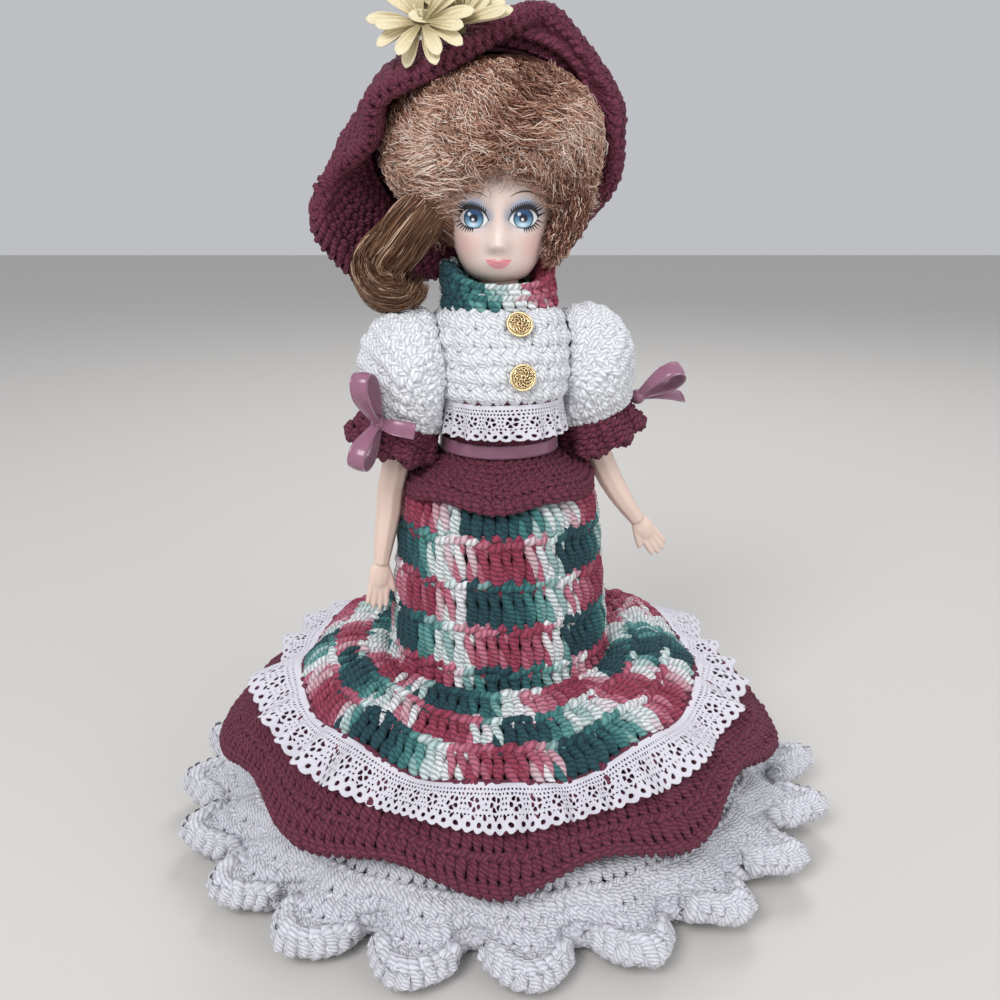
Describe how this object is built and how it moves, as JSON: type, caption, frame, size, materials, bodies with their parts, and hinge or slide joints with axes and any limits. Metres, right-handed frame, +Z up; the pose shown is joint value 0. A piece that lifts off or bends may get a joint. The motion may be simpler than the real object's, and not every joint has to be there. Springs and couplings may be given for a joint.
{
  "type": "crochet-dressed doll",
  "caption": "Standing vinyl doll in a crocheted gown with puff sleeves, tiered skirt, ruffled petticoat, satin bows and a wide floppy hat with silk flowers.",
  "frame": {"origin": "middle of the ruffled hem, on the surface that the dress stands on", "axes": "+Z up, the face looks along -Y, +X to the viewer's right from the front"},
  "size_m": [0.252, 0.2234, 0.3175],
  "materials": {
    "vinyl": "soft satin vinyl, light skin tone",
    "face_vinyl": "soft satin vinyl with painted features",
    "hair": "rooted synthetic hair, strawberry brown, slightly shiny",
    "maroon_yarn": "crocheted acrylic yarn, maroon",
    "mixed_yarn": "crocheted variegated yarn: teal, aqua, white, pink and rose",
    "white_yarn": "crocheted acrylic yarn, white",
    "lace": "white lace edging with eyelets",
    "mauve_satin": "satin ribbon, mauve",
    "blue_satin": "satin ribbon, light blue",
    "silk": "stiffened silk petals, cream yellow",
    "gold": "gold-tone filigree buttons, polished"
  },
  "bodies": {
    "dressed_torso": {"torso": "vinyl", "collar": "mixed_yarn", "bodice": "white_yarn", "button_top": "gold", "button_bottom": "gold", "waistband": "maroon_yarn", "bust_lace": "lace", "waist_ribbon": "mauve_satin", "peplum": "maroon_yarn", "skirt_tube": "mixed_yarn", "skirt_flare": "mixed_yarn", "skirt_lace": "lace", "flounce": "maroon_yarn", "petticoat": "white_yarn", "petticoat_ruffle": "white_yarn"},
    "head": {"head": "face_vinyl", "hair_cap": "hair", "fringe": "hair", "side_curl": "hair", "side_lock": "hair", "hat_crown": "maroon_yarn", "hat_brim": "maroon_yarn", "hat_lace": "lace", "hat_ribbon": "blue_satin", "daisy_1": "silk", "daisy_2": "silk"},
    "arm_left": {"arm_left": "vinyl", "sleeve_left": "white_yarn", "cuff_left": "maroon_yarn", "cuff_ribbon_left": "mauve_satin", "bow_left": "mauve_satin"},
    "arm_right": {"arm_right": "vinyl", "sleeve_right": "white_yarn", "cuff_right": "maroon_yarn", "cuff_ribbon_right": "mauve_satin", "bow_right": "mauve_satin"},
    "leg_left": {"leg_left": "vinyl"},
    "leg_right": {"leg_right": "vinyl"}
  },
  "joints": [
    {"name": "neck_turn", "type": "hinge", "parent": "dressed_torso", "child": "head", "pos_m": [0, 0, 0.22], "axis": [0, 0, 1], "range_deg": [-30, 30]},
    {"name": "shoulder_left", "type": "hinge", "parent": "dressed_torso", "child": "arm_left", "pos_m": [0, 0, 0.19], "axis": [-0.9744, -0.225, 0], "range_deg": [-15, 60]},
    {"name": "shoulder_right", "type": "hinge", "parent": "dressed_torso", "child": "arm_right", "pos_m": [0, 0, 0.19], "axis": [-0.9744, -0.225, 0], "range_deg": [-15, 60]},
    {"name": "hip_left", "type": "hinge", "parent": "dressed_torso", "child": "leg_left", "pos_m": [0, 0, 0.122], "axis": [-0.9744, -0.225, 0], "range_deg": [-10, 10]},
    {"name": "hip_right", "type": "hinge", "parent": "dressed_torso", "child": "leg_right", "pos_m": [0, 0, 0.122], "axis": [-0.9744, -0.225, 0], "range_deg": [-10, 10]}
  ]
}
